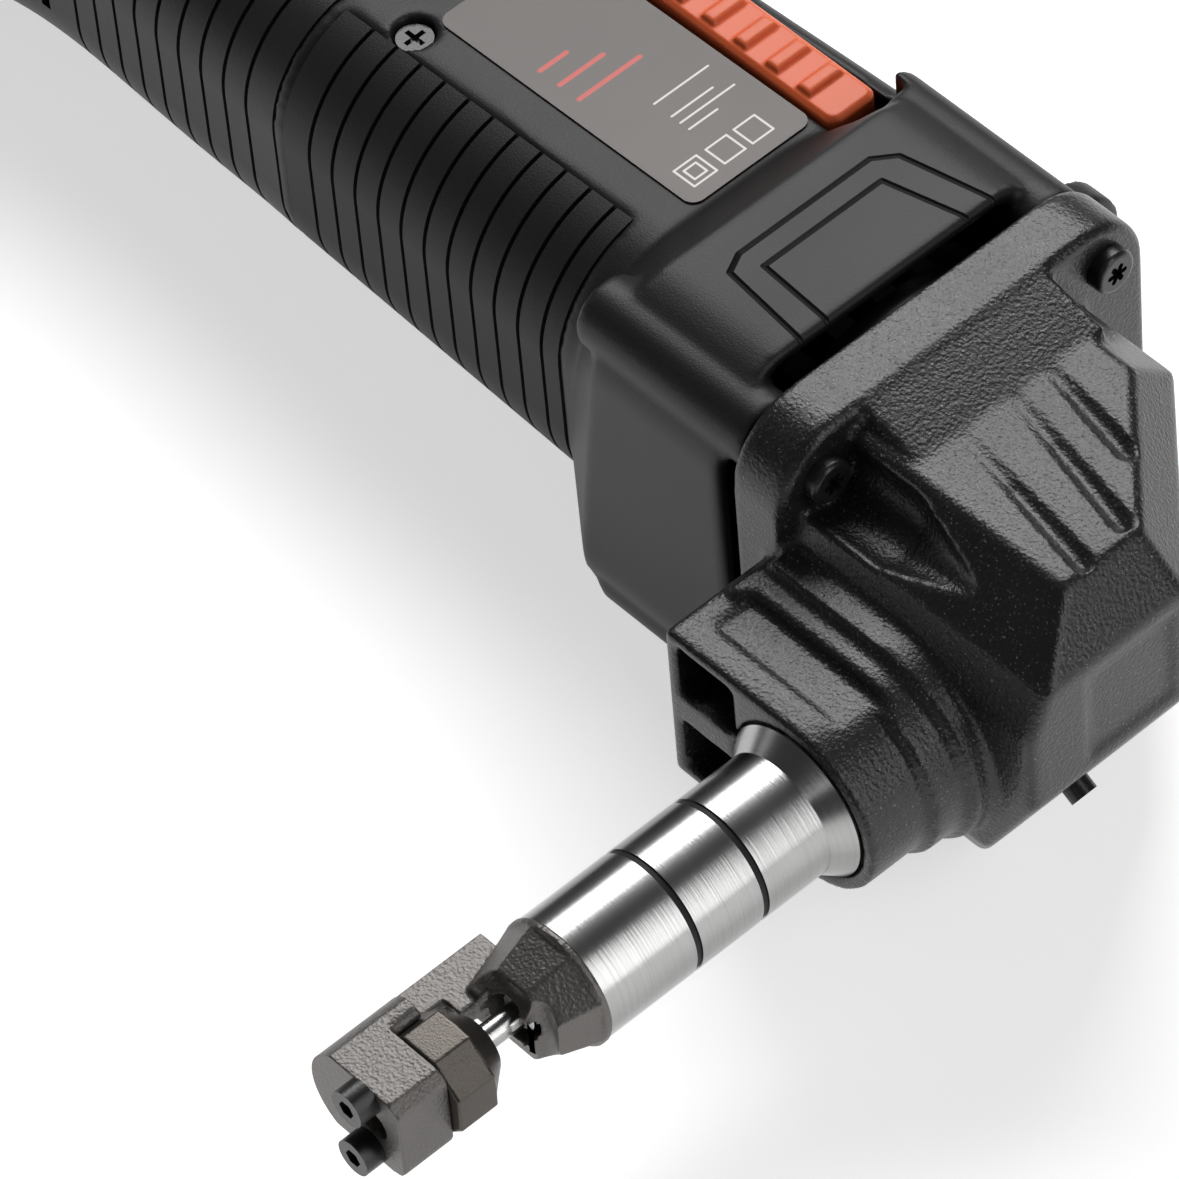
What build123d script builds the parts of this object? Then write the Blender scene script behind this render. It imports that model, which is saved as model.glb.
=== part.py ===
from build123d import *
from math import atan2, cos, sin, radians, pi
import os

# Nibbler tool with a barrel grip and a neck at right angles to it.
# Working frame: origin where the barrel axis and the neck axis cross, +X along the barrel
# towards the gear head, -Y down the neck to the die, +Z out of the face with the rating plate.
# The tool rests on its -Z side. Each part is shifted as it is written, so that in the row
# frame z = 0 is the surface it lies on and the origin is under the middle of its box.

os.makedirs("parts", exist_ok=True)

# driving dimensions (mm)
REST_HEIGHT = 42.0

# barrel and motor housing
BELL_FRONT = -44.4
BELL_REAR = -78.5
SHOULDER_REAR = -89.5
SHOULDER_TILT = 7.5
BELL_HALF_Y, BELL_HALF_Z, BELL_CORNER = 40.5, REST_HEIGHT, 18.0
BARREL_FRONT_HALF_Y, BARREL_FRONT_HALF_Z, BARREL_FRONT_CORNER = 34.0, 31.5, 23.0
BARREL_WAIST_HALF_Y, BARREL_WAIST_HALF_Z, BARREL_WAIST_CORNER = 29.4, 27.5, 20.2
BARREL_WAIST_X = -236.0
HANDLE_JOINT_X = -169.0
TAIL_X = -292.0
TAIL_HALF_Y, TAIL_HALF_Z, TAIL_CORNER = 36.0, 36.0, 25.0
PLASTIC_WALL = 2.8

# rubber grip
GRIP_FRONT, GRIP_REAR = -92.5, -166.0
GRIP_DEPTH = 1.6
GRIP_EDGE_Y = -14.5
HOUSING_SCREW_Y = -10.3
GRIP_HALF_HEIGHT = 25.0
RIB_PITCH = 6.2
RIB_GROOVE = 0.9
HANDLE_RIBS = 9

# gear housing and its screws
FLANGE_REAR, FLANGE_FRONT = -39.0, -27.0
SCREW_SPACING = 65.0
SCREW_SHANK_R, SCREW_HEAD_R, SCREW_HEAD_HEIGHT = 2.5, 4.25, 3.0
HEAD_TOP_Z, HEAD_FRONT_X = 38.0, 30.0
HEAD_NECK_Y, HEAD_FAR_Y = -41.0, 27.0
DIAGONAL_ANGLE, DIAGONAL_REACH = 47.5, 16.3
HEAD_WALL = 4.4
PLUG_SHANK_R = 2.6

# nose and neck
NOSE_R, NOSE_REAR, NOSE_END = 17.8, -31.0, -65.5
NECK_R, NECK_BORE_R = 12.0, 9.0
CONE_R, CONE_END = 14.9, -69.3
NECK_END = -117.7
NECK_GROOVES = (-83.6, -98.3)
NECK_GROOVE_WIDTH = 1.3

# die end
TAPER_END, DIE_TOP, DIE_BLOCK_TOP, DIE_END = -131.2, -135.6, -142.0, -158.6
DIE_HEAD_HEIGHT = 4.0
PUNCH_R, PUNCH_TIP = 2.3, -139.5
RAM_R, RAM_END = 7.0, -113.0

# gear train: motor pinion, layshaft, crank
PINION_MODULE, PINION_TEETH, LAY_GEAR_TEETH = 0.8, 10, 35
LAY_MODULE, LAY_PINION_TEETH, CRANK_GEAR_TEETH = 1.0, 10, 30
LAY_Y, LAY_Z = -4.97, -17.3
CRANK_Y = -15.0
CRANK_THROW = 3.25
WRIST_PIN_Y, WRIST_PIN_R = -46.0, 3.0
RUNNING_FIT = 0.05

# motor
STATOR_R, ARMATURE_R, STATOR_BORE_R = 27.5, 18.5, 19.0
COMMUTATOR_R, BRUSH_X = 11.0, -153.0
STATOR_REAR, STATOR_FRONT = -138.0, -87.0
FAN_R = 33.0

# slide switch
SWITCH_Y, SWITCH_HALF_WIDTH = 28.5, 5.5
SWITCH_ROD_Y, SWITCH_ROD_HALF = 24.6, 1.5
CONSOLE_REACH = 6.0
SWITCH_FRONT, SWITCH_REAR = -83.0, -163.0
SWITCH_FLOOR, SWITCH_TOP = 27.0, 33.8
SWITCH_TRAVEL = 6.0

# hanging ear on the far side of the bell, and the gland in the tail
EAR_Y, EAR_Z, EAR_R = 43.5, 15.0, 9.5
GLAND_PROUD = 5.0

# rating plate
PLATE_FRONT, PLATE_REAR = -86.6, -152.0
PLATE_Y0, PLATE_Y1, PLATE_THICKNESS = -6.0, 22.0, 0.4


def box(x0, x1, y0, y1, z0, z1):
    return Pos(x0, y0, z0) * Box(x1 - x0, y1 - y0, z1 - z0, align=(Align.MIN,) * 3)


def rod_x(x0, x1, r, y=0, z=0):
    plane = Plane(origin=(x0, y, z), x_dir=(0, 1, 0), z_dir=(1, 0, 0))
    return plane * Cylinder(r, x1 - x0, align=(Align.CENTER, Align.CENTER, Align.MIN))


def rod_y(y0, y1, r, x=0, z=0):
    plane = Plane(origin=(x, y0, z), x_dir=(1, 0, 0), z_dir=(0, 1, 0))
    return plane * Cylinder(r, y1 - y0, align=(Align.CENTER, Align.CENTER, Align.MIN))


def rod_z(z0, z1, r, x=0, y=0):
    return Pos(x, y, z0) * Cylinder(r, z1 - z0, align=(Align.CENTER, Align.CENTER, Align.MIN))


def cone_y(y0, r0, y1, r1, x=0, z=0):
    plane = Plane(origin=(x, y0, z), x_dir=(1, 0, 0), z_dir=(0, 1, 0))
    return plane * Cone(r0, r1, y1 - y0, align=(Align.CENTER, Align.CENTER, Align.MIN))


def cone_x(x0, r0, x1, r1, y=0, z=0):
    plane = Plane(origin=(x0, y, z), x_dir=(0, 1, 0), z_dir=(1, 0, 0))
    return plane * Cone(r0, r1, x1 - x0, align=(Align.CENTER, Align.CENTER, Align.MIN))


def tube_x(x0, x1, outer, inner, y=0, z=0):
    return rod_x(x0, x1, outer, y, z) - rod_x(x0, x1, inner, y, z)


def section(x, half_y, half_z, corner):
    """Rounded rectangle across the barrel at x."""
    plane = Plane(origin=(x, 0, 0), x_dir=(0, 1, 0), z_dir=(1, 0, 0))
    return plane * RectangleRounded(2 * half_y, 2 * half_z, corner)


def barrel_size(x, inset=0.0):
    """Half width, half height and corner radius of the barrel at x, less an inset."""
    front = (BARREL_FRONT_HALF_Y, BARREL_FRONT_HALF_Z, BARREL_FRONT_CORNER)
    waist = (BARREL_WAIST_HALF_Y, BARREL_WAIST_HALF_Z, BARREL_WAIST_CORNER)
    tail = (TAIL_HALF_Y, TAIL_HALF_Z, TAIL_CORNER)
    if x >= BARREL_WAIST_X:
        t = (x - BELL_REAR) / (BARREL_WAIST_X - BELL_REAR)
        low, high = front, waist
    else:
        t = (x - BARREL_WAIST_X) / (TAIL_X - BARREL_WAIST_X)
        t = t * t * (3 - 2 * t)
        low, high = waist, tail
    return tuple(a + (b - a) * t - inset for a, b in zip(low, high))


def barrel(x0, x1, inset=0.0, steps=1):
    """Stretch of the barrel between two stations."""
    stations = [x0 + (x1 - x0) * i / steps for i in range(steps + 1)]
    return loft([section(x, *barrel_size(x, inset)) for x in stations], ruled=(steps == 1))


def corner_places(spacing):
    half = spacing / 2
    return [(y, z) for y in (-half, half) for z in (-half, half)]


def gear(module, teeth, x0, x1, bore, y, z, turn=0.0):
    """Spur gear along X with straight-sided teeth cut a little shallow for running clearance."""
    pitch_r = module * teeth / 2
    root_r, tip_r = pitch_r - 1.0 * module, pitch_r + 0.6 * module
    step = 2 * pi / teeth
    points = []
    for i in range(teeth):
        middle = i * step + turn
        for share, r in ((-0.29, root_r), (-0.12, tip_r), (0.12, tip_r), (0.29, root_r)):
            angle = middle + share * step
            points.append((r * cos(angle), r * sin(angle)))
    plane = Plane(origin=(x0, y, z), x_dir=(0, 1, 0), z_dir=(1, 0, 0))
    wheel = extrude(plane * make_face(Polyline(*points, close=True)), amount=x1 - x0)
    return wheel - rod_x(x0, x1, bore, y, z)


def bearing(x0, x1, outer, inner, y=0, z=0):
    """Ball bearing: two rings with a shield set in between them on each face."""
    middle, shield = (outer + inner) / 2, (outer - inner) * 0.24
    ring = tube_x(x0, x1, outer, inner + RUNNING_FIT, y, z)
    for face in ((x0, x0 + 0.4), (x1 - 0.4, x1)):
        ring -= tube_x(*face, middle + shield, middle - shield, y, z)
    return ring


def socket_screw_y(y0, y1, x, z, shank_r, head_r, head_height, reach):
    """Hexagon-socket screw along Y whose head ends at y0."""
    screw = rod_y(y0, y0 + head_height, head_r, x, z) + rod_y(y0, y1, shank_r, x, z)
    plane = Plane(origin=(x, y0, z), x_dir=(1, 0, 0), z_dir=(0, 1, 0))
    return screw - extrude(plane * RegularPolygon(reach, 6), amount=head_height * 0.55)


# ---- housing shells ------------------------------------------------------------------------

def console(x0, x1, inset=0.0):
    """Raised rail on the far shoulder of the barrel, in which the slide switch sits."""
    parts = []
    for x in (x0, x1):
        half_y, half_z, _ = barrel_size(x, inset)
        plane = Plane(origin=(x, 0, 0), x_dir=(0, 1, 0), z_dir=(1, 0, 0))
        width, height = half_y + CONSOLE_REACH + 5, half_z
        parts.append(plane * (Pos(width / 2 - 5, height / 2) * RectangleRounded(width, height, 6.5)))
    return loft(parts, ruled=True)


def tilted_section(x, half_y, half_z, corner):
    """Rounded rectangle whose plane leans, so that it is further forward on the plate side."""
    lean = radians(SHOULDER_TILT)
    plane = Plane(origin=(x, 0, 0), x_dir=(0, 1, 0), z_dir=(cos(lean), 0, -sin(lean)))
    return plane * RectangleRounded(2 * half_y, 2 * half_z / cos(lean), corner)


def shoulder(inset=0.0):
    """Flare from the barrel up to the bell."""
    low = tilted_section(SHOULDER_REAR, *barrel_size(SHOULDER_REAR, inset))
    high = tilted_section(BELL_REAR, BELL_HALF_Y - inset, BELL_HALF_Z - inset, BELL_CORNER - inset)
    return loft([low, high]) + barrel(SHOULDER_REAR - 8, SHOULDER_REAR + 3.5, inset)


def bell(inset=0.0):
    """Rounded box round the fan, ending at the air outlet slot."""
    size = (BELL_HALF_Y - inset, BELL_HALF_Z - inset, BELL_CORNER - inset)
    middle = (BELL_REAR + BELL_FRONT) / 2
    rear = loft([tilted_section(BELL_REAR, *size), section(middle, *size)], ruled=True)
    return rear + extrude(section(middle, *size), amount=BELL_FRONT - middle)


def screw_rods(x0, x1, r):
    return Part() + [rod_x(x0, x1, r, y, z) for y, z in corner_places(SCREW_SPACING)]


def grip_band(side):
    """Block that bounds the rubber on one side of the barrel: -1 neck side, +1 far side."""
    if side < 0:
        return box(GRIP_REAR, GRIP_FRONT, -60, GRIP_EDGE_Y, -60, 60)
    return box(GRIP_REAR, GRIP_FRONT, 15, 60, -GRIP_HALF_HEIGHT, -1)


def grip_pocket(side):
    """Shallow recess that the rubber is moulded into."""
    stretch = (GRIP_REAR - 2, GRIP_FRONT + 2)
    return (barrel(*stretch, -3.0) - barrel(*stretch, GRIP_DEPTH)) & grip_band(side)


def grip(side):
    stretch = (GRIP_REAR - 2, GRIP_FRONT + 2)
    rubber = (barrel(*stretch) - barrel(*stretch, GRIP_DEPTH)) & grip_band(side)
    if side > 0:
        rubber -= console(*stretch)
    count = int((GRIP_FRONT - GRIP_REAR - 1.4 * RIB_PITCH) / RIB_PITCH) + 1
    for i in range(count):
        x = GRIP_FRONT - 0.7 * RIB_PITCH - i * RIB_PITCH
        slot = (x - RIB_GROOVE / 2, x + RIB_GROOVE / 2)
        rubber -= barrel(*slot, -1.0) - barrel(*slot, GRIP_DEPTH * 0.6)
    return rubber


def switch_channel(floor, extra_front=0.0, clearance=0.0):
    """Channel in the console that the slide switch runs in."""
    half = SWITCH_HALF_WIDTH + clearance
    return box(SWITCH_REAR - clearance, SWITCH_FRONT + extra_front + clearance,
               SWITCH_Y - half, SWITCH_Y + half, floor, 60.0)


def bearing_web(x0, x1, hub_r, seat_r):
    """Ribbed wall across the housing that holds the rear motor bearing."""
    web = barrel(x0 + 2.5, x1 - 2.5, 1.0) + rod_x(x0, x1, hub_r)
    for i in range(6):
        angle = radians(60 * i)
        web -= rod_x(x0 - 1, x1 + 1, 4.5, 18.5 * cos(angle), 18.5 * sin(angle))
    return web - rod_x(x0 - 1, x1 + 1, seat_r)


def motor_housing():
    outer = bell() + shoulder() + barrel(HANDLE_JOINT_X, SHOULDER_REAR)
    outer += console(HANDLE_JOINT_X, SHOULDER_REAR + 8)
    outer += barrel(HANDLE_JOINT_X - 6, HANDLE_JOINT_X, PLASTIC_WALL + 0.2)
    outer += screw_rods(-80.0, FLANGE_REAR, 7.0) & box(
        -80, FLANGE_REAR, -BELL_HALF_Y - 1.4, BELL_HALF_Y + 1.4, -BELL_HALF_Z, BELL_HALF_Z)
    outer += rod_x(BELL_FRONT - 7, BELL_FRONT, EAR_R, EAR_Y, EAR_Z)
    outer += box(BELL_FRONT - 7, BELL_FRONT, 36, EAR_Y - 3, EAR_Z - EAR_R, EAR_Z + EAR_R)
    hollow = bell(3.0) + shoulder(3.0)
    hollow -= screw_rods(-90.0, FLANGE_REAR, 6.0)
    hollow += barrel(HANDLE_JOINT_X - 6, SHOULDER_REAR, 5.0)
    hollow += rod_x(STATOR_REAR, SHOULDER_REAR + 4, STATOR_R)
    housing = outer - hollow
    housing += bearing_web(-170.0, -160.5, 12.5, 9.5)
    housing -= screw_rods(-62.0, FLANGE_REAR, SCREW_SHANK_R + RUNNING_FIT)
    housing -= switch_channel(SWITCH_FLOOR, SWITCH_TRAVEL + 0.6, 0.4)
    slot = (SWITCH_ROD_Y - SWITCH_ROD_HALF - 0.4, SWITCH_ROD_Y + SWITCH_ROD_HALF + 0.4)
    housing -= box(-162.6, -149.5, *slot, 8, SWITCH_FLOOR + 0.5)
    housing -= box(-176, -158, *slot, 10, 14.6)
    housing += rod_z(10.2, 25.5, 4.6, BRUSH_X, HOUSING_SCREW_Y)
    housing -= rod_z(8, 27, 1.6, BRUSH_X, HOUSING_SCREW_Y) + rod_z(25.5, 40, 3.9, BRUSH_X, HOUSING_SCREW_Y)
    return housing - grip_pocket(-1) - grip_pocket(1)


def rear_handle(side):
    """One clamshell half, split through the barrel axis: +1 the plate side, -1 the other."""
    outer = barrel(TAIL_X, HANDLE_JOINT_X, steps=6)
    outer += console(HANDLE_JOINT_X - 16, HANDLE_JOINT_X)
    outer = fillet(outer.faces().sort_by(Axis.X)[0].edges(), 7)
    hollow = barrel(TAIL_X + 3, HANDLE_JOINT_X, PLASTIC_WALL, steps=6)
    shell = outer - hollow
    for x in (-186.0, -272.0):
        for y in (-14.5, 14.5):
            shell += rod_z(-45, 45, 5.2, x, y)
    shell = shell & outer
    for x in (-186.0, -272.0):
        for y in (-14.5, 14.5):
            shell -= rod_z(-50, -17, 3.8, x, y) + rod_z(-18, 18, 1.8, x, y)
    for i in range(6):
        x = -264 + 5.5 * i
        shell -= box(x, x + 2.4, -60, 60, -9, 9)
    for i in range(HANDLE_RIBS):
        x = HANDLE_JOINT_X - 1.2 * RIB_PITCH - i * RIB_PITCH
        slot = (x - RIB_GROOVE / 2, x + RIB_GROOVE / 2)
        shell -= (barrel(*slot, -1.0) - barrel(*slot, 0.9)) & box(*slot, -60, GRIP_EDGE_Y, -60, 60)
    shell += tube_x(TAIL_X, TAIL_X + 9, 13, 8.0)
    shell -= rod_x(TAIL_X - 1, TAIL_X + 10, 8.0)
    half = box(TAIL_X - 1, HANDLE_JOINT_X, -60, 60, 0, 60) if side > 0 else box(
        TAIL_X - 1, HANDLE_JOINT_X, -60, 60, -60, 0)
    return shell & half


def handle_screws():
    screws = Part()
    for x in (-186.0, -272.0):
        for y in (-14.5, 14.5):
            head = rod_z(-19.6, -17, 3.4, x, y) - box(x - 2.2, x + 2.2, y - 0.5, y + 0.5, -19.6, -18.4)
            screws += head - box(x - 0.5, x + 0.5, y - 2.2, y + 2.2, -19.6, -18.4)
            screws += rod_z(-17, 14, 1.75, x, y)
    return screws


def housing_screw():
    x, y = BRUSH_X, HOUSING_SCREW_Y
    head = rod_z(25.5, 28.0, 3.4, x, y) - box(x - 2.2, x + 2.2, y - 0.5, y + 0.5, 26.8, 28.0)
    return head - box(x - 0.5, x + 0.5, y - 2.2, y + 2.2, 26.8, 28.0) + rod_z(11, 25.5, 1.55, x, y)


def rating_plate():
    stretch = (PLATE_REAR, PLATE_FRONT)
    plate = barrel(*stretch, -PLATE_THICKNESS) + console(*stretch, -PLATE_THICKNESS)
    plate -= barrel(*stretch) + console(*stretch)
    length, width = PLATE_FRONT - PLATE_REAR, PLATE_Y1 - PLATE_Y0
    outline = Pos((PLATE_FRONT + PLATE_REAR) / 2, (PLATE_Y0 + PLATE_Y1) / 2, 20) * RectangleRounded(
        length - 0.2, width, 2.5)
    return plate & extrude(outline, amount=20)


def cord_gland():
    outer_face = TAIL_X - GLAND_PROUD
    gland = rod_x(outer_face, TAIL_X + 13, 8.0) + rod_x(outer_face, TAIL_X, 10.5)
    return gland + rod_x(TAIL_X + 9, TAIL_X + 13, 10.0) - rod_x(outer_face - 1, TAIL_X + 14, 4.2)


def cord_clamp():
    bar = box(-266, -258, -12, 12, -9.0, -5.0)
    return bar - rod_x(-267, -257, 4.2)


# ---- slide switch --------------------------------------------------------------------------

def switch_slider():
    half = SWITCH_HALF_WIDTH
    bar = box(SWITCH_REAR, SWITCH_FRONT, SWITCH_Y - half, SWITCH_Y + half, SWITCH_FLOOR + 0.2, SWITCH_TOP - 1.2)
    bar = fillet(bar.edges().filter_by(Axis.Z), 2.5)
    bar = chamfer(bar.faces().sort_by(Axis.Z)[-1].edges(), 1.0)
    top = SWITCH_TOP - 1.2
    for i in range(8):
        x = SWITCH_FRONT - 9 - 8.0 * i
        pad = box(x - 1.6, x + 1.6, SWITCH_Y - half + 1.6, SWITCH_Y + half - 1.6, top - 0.5, SWITCH_TOP)
        bar += chamfer(pad.faces().sort_by(Axis.Z)[-1].edges(), 0.5)
    stem = box(-162.0, -156.0, SWITCH_ROD_Y - SWITCH_ROD_HALF, SWITCH_ROD_Y + SWITCH_ROD_HALF,
               10.6, SWITCH_FLOOR + 0.5)
    return bar + stem


def switch_rod():
    y0, y1 = SWITCH_ROD_Y - SWITCH_ROD_HALF, SWITCH_ROD_Y + SWITCH_ROD_HALF
    rod = box(-206, -156, y0, y1, 10.6, 13.6) - box(-162.0, -156.0, y0, y1, 10.6, 13.6)
    return rod + box(-206, -203, y0 - 10.7, y0, 10.6, 13.6)


def switch_body():
    body = fillet(box(-236, -208, -11, 11, -12, 10).edges(), 1.0)
    return body + box(-226, -212, 8, 11, 9, 13)


# ---- gear head -----------------------------------------------------------------------------

def head_prism(reach_inset=0.0, y0=HEAD_NECK_Y, y1=HEAD_FAR_Y, top=HEAD_TOP_Z, front=HEAD_FRONT_X, rear=FLANGE_FRONT):
    """Faceted form of the gear head: three profiles at right angles and a diagonal one."""
    across = Plane(origin=(rear, 0, 0), x_dir=(0, 1, 0), z_dir=(1, 0, 0)) * make_face(Polyline(
        (y0, 18), (y0 + 4, top - 11), (y0 + 16, top), (y1 - 11, top), (y1, top - 11),
        (y1, 11 - top), (y1 - 11, -top), (y0 + 16, -top), (y0 + 4, 11 - top), (y0, -18), close=True))
    form = extrude(across, amount=front - rear)
    side = Plane(origin=(0, y1 + 1, 0), x_dir=(1, 0, 0), z_dir=(0, -1, 0)) * make_face(Polyline(
        (rear, -top), (2, -top), (8, 2 - top), (front, 1), (front, top - 11), (front - 8, top),
        (rear, top), close=True))
    form &= extrude(side, amount=y1 - y0 + 2)
    reach = DIAGONAL_REACH - reach_inset
    turn = Plane(origin=(0, 0, 0), x_dir=(cos(radians(DIAGONAL_ANGLE)), sin(radians(DIAGONAL_ANGLE)), 0),
                 z_dir=(sin(radians(DIAGONAL_ANGLE)), -cos(radians(DIAGONAL_ANGLE)), 0))
    diagonal = turn * make_face(Polyline(
        (-90, -60), (reach - 8, -60), (reach - 8, -top), (reach, 11 - top), (reach, top - 11),
        (reach - 7, top), (reach - 7, 60), (-90, 60), close=True))
    return form & extrude(diagonal, amount=90, both=True)


def nose_form(y0, y1, grow=0.0, rear=NOSE_REAR):
    r = NOSE_R + grow
    return box(rear, 0, y0, y1, -r, r) + rod_y(y0, y1, r)


def screw_scoop(y, z):
    scoop = rod_x(FLANGE_FRONT, FLANGE_FRONT + 17, 7.2, y, z)
    return scoop + cone_x(FLANGE_FRONT + 17, 7.2, FLANGE_FRONT + 35, 1.5, y, z)


def top_grooves():
    """Three gouges in the plate-side face that deepen towards the front."""
    cuts = Part()
    for x0, y0, x1, y1 in ((-22, -11.9, 20.5, -19.0), (-27, 1.2, 19, -8.6), (-26, 8.8, 8.5, 2.8)):
        start, end = Vector(x0, y0, HEAD_TOP_Z + 2.1), Vector(x1, y1, HEAD_TOP_Z + 0.2)
        plane = Plane(origin=start, z_dir=(end - start))
        length = (end - start).length
        cuts += plane * Cylinder(1.9, length, align=(Align.CENTER, Align.CENTER, Align.MIN))
        cuts += Pos(*end) * Sphere(1.9)
    return cuts


def gear_housing():
    flange = extrude(section(FLANGE_REAR, REST_HEIGHT, REST_HEIGHT, 14), amount=FLANGE_FRONT - FLANGE_REAR)
    flange = chamfer(flange.faces().sort_by(Axis.X)[-1].edges(), 1.2)
    head = head_prism()
    head = fillet(head.edges().filter_by(lambda e: e.length > 8 and e.center().X > FLANGE_FRONT + 1), 1.6)
    nose = nose_form(NOSE_END, -36) + nose_form(-52.5, -36, 1.6, -29) + nose_form(-45.5, -36, 3.4, -27)
    casting = flange + head + nose
    for y, z in corner_places(SCREW_SPACING):
        casting -= screw_scoop(y, z)
        casting -= rod_x(FLANGE_REAR - 1, FLANGE_FRONT + 1, SCREW_SHANK_R + RUNNING_FIT, y, z)
    casting -= top_grooves()
    casting -= box(HEAD_FRONT_X - 0.8, HEAD_FRONT_X + 1, -28, -8, 3.5, 24)
    # pockets and rib on the end of the nose, recess round the cone
    casting -= box(-28.5, -15, NOSE_END - 1, -52, 3.2, 15.4) + box(-28.5, -15, NOSE_END - 1, -52, -15.4, -3.2)
    casting += rod_y(NOSE_END + 1.5, -52, 4.4, -22)
    casting -= box(-26, 10, -59.5, -50.5, NOSE_R - 0.7, 40)
    casting -= rod_y(NOSE_END - 1, NOSE_END + 2.5, CONE_R + 0.4)
    # hollow
    casting -= rod_x(FLANGE_REAR - 1, -28.0, 35.0)
    hollow = head_prism(HEAD_WALL, HEAD_NECK_Y + 5, HEAD_FAR_Y - HEAD_WALL, HEAD_TOP_Z - HEAD_WALL, 25.0, -28.0)
    for y, z in corner_places(SCREW_SPACING):
        hollow -= rod_x(-28, -8, 10.2, y, z) + cone_x(-8, 10.2, 12, 3.5, y, z)
    hollow -= rod_x(8.0, 26.0, 11.5, CRANK_Y)
    casting -= hollow
    casting -= rod_x(9.0, 15.0, 8.0, CRANK_Y) + rod_x(7.0, 10.0, 5.5, CRANK_Y)
    casting -= rod_y(NOSE_END - 1, -45, NECK_R) + rod_y(-46, HEAD_NECK_Y + 5.5, 9.6)
    return casting - plug_hole(PLUG_SHANK_R + RUNNING_FIT)


def plug_hole(r):
    """Straight hole square to the bevelled lower front face."""
    plane = Plane(origin=(27.0, -26.5, -9.5), z_dir=(-0.86, 0, 0.51))
    return plane * Cylinder(r, 9.0, align=(Align.CENTER, Align.CENTER, Align.MIN))


def grease_plug():
    plane = Plane(origin=(27.0, -26.5, -9.5), z_dir=(-0.86, 0, 0.51))
    plug = plane * Cylinder(PLUG_SHANK_R, 8.0, align=(Align.CENTER, Align.CENTER, Align.MIN))
    slot = plane * Box(5, 0.8, 2.0)
    return plug - slot


def gearbox_screws():
    screws = Part()
    for y, z in corner_places(SCREW_SPACING):
        head = rod_x(FLANGE_FRONT, FLANGE_FRONT + SCREW_HEAD_HEIGHT, SCREW_HEAD_R, y, z)
        head = fillet(head.faces().sort_by(Axis.X)[-1].edges(), 1.0)
        top = FLANGE_FRONT + SCREW_HEAD_HEIGHT
        for i in range(3):
            plane = Plane(origin=(top, y, z), x_dir=(0, 1, 0), z_dir=(-1, 0, 0))
            head -= extrude(plane * (Rot(0, 0, 60 * i) * SlotOverall(4.4, 1.1)), amount=1.7)
        screws += head + rod_x(FLANGE_FRONT - 31, FLANGE_FRONT, SCREW_SHANK_R, y, z)
    return screws


def fan_baffle():
    """Castellated plastic ring in the air outlet between the bell and the gear head."""
    ring = tube_x(-50.0, -39.1, 36.5, 34.6)
    for i in range(12):
        ring -= Rot(15 * i, 0, 0) * box(-50.5, -45.5, -2.4, 2.4, -40, 40)
    return ring


def bearing_plate():
    """Plate that closes the gear head and carries the front motor bearing and rear lay bearing."""
    plate = rod_x(-41.0, -37.0, 34.4) + rod_x(-48.0, -37.0, 14.0)
    plate -= rod_x(-46.0, -36.0, 11.0) + rod_x(-49.0, -36.0, 6.0)
    return plate - rod_x(-40.8, -36.0, 6.5, LAY_Y, LAY_Z)


def bearing_bridge():
    """Plate across the gear head between the two gear stages."""
    bridge = box(-28.0, -24.0, -29.0, 18.0, -25.0, 25.0)
    bridge = fillet(bridge.edges().filter_by(Axis.X), 10)
    for y, z in ((LAY_Y, LAY_Z), (CRANK_Y, 0)):
        bridge -= rod_x(-29, -23, 6.5, y, z)
    return bridge - rod_x(-29, -23, 5.6, 4.5, 0)


# ---- gears, crank, connecting rod, ram -----------------------------------------------------

MESH_ONE = atan2(LAY_Z, LAY_Y)
MESH_TWO = atan2(-LAY_Z, CRANK_Y - LAY_Y)


def motor_pinion():
    return gear(PINION_MODULE, PINION_TEETH, -36.0, -29.0, 2.2, 0, 0, MESH_ONE)


def lay_gear():
    turn = MESH_ONE + pi + pi / LAY_GEAR_TEETH
    return gear(PINION_MODULE, LAY_GEAR_TEETH, -36.0, -29.0, 3.0, LAY_Y, LAY_Z, turn)


def layshaft():
    shaft = rod_x(-40.5, -36.0, 2.5, LAY_Y, LAY_Z) + rod_x(-36.0, -28.5, 3.0, LAY_Y, LAY_Z)
    shaft += rod_x(-28.5, -23.5, 2.5, LAY_Y, LAY_Z)
    return shaft + gear(LAY_MODULE, LAY_PINION_TEETH, -23.5, -15.0, 0.8, LAY_Y, LAY_Z, MESH_TWO)


def crank_gear():
    turn = MESH_TWO + pi + pi / CRANK_GEAR_TEETH
    return gear(LAY_MODULE, CRANK_GEAR_TEETH, -23.0, -16.0, 5.0, CRANK_Y, 0, turn)


def crankshaft():
    shaft = rod_x(-28.0, -23.5, 2.5, CRANK_Y) + rod_x(-23.5, -15.5, 5.0, CRANK_Y)
    shaft += rod_x(-15.5, -6.0, 8.0, CRANK_Y)
    shaft += rod_x(-6.0, 5.0, 7.0, CRANK_Y - CRANK_THROW)
    return shaft + rod_x(5.0, 14.8, 4.0, CRANK_Y)


def counterweight():
    disc = tube_x(-14.0, -7.0, 13.5, 8.0, CRANK_Y)
    return disc & box(-15, -6, CRANK_Y + 1.0, CRANK_Y + 20, -20, 20)


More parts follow.
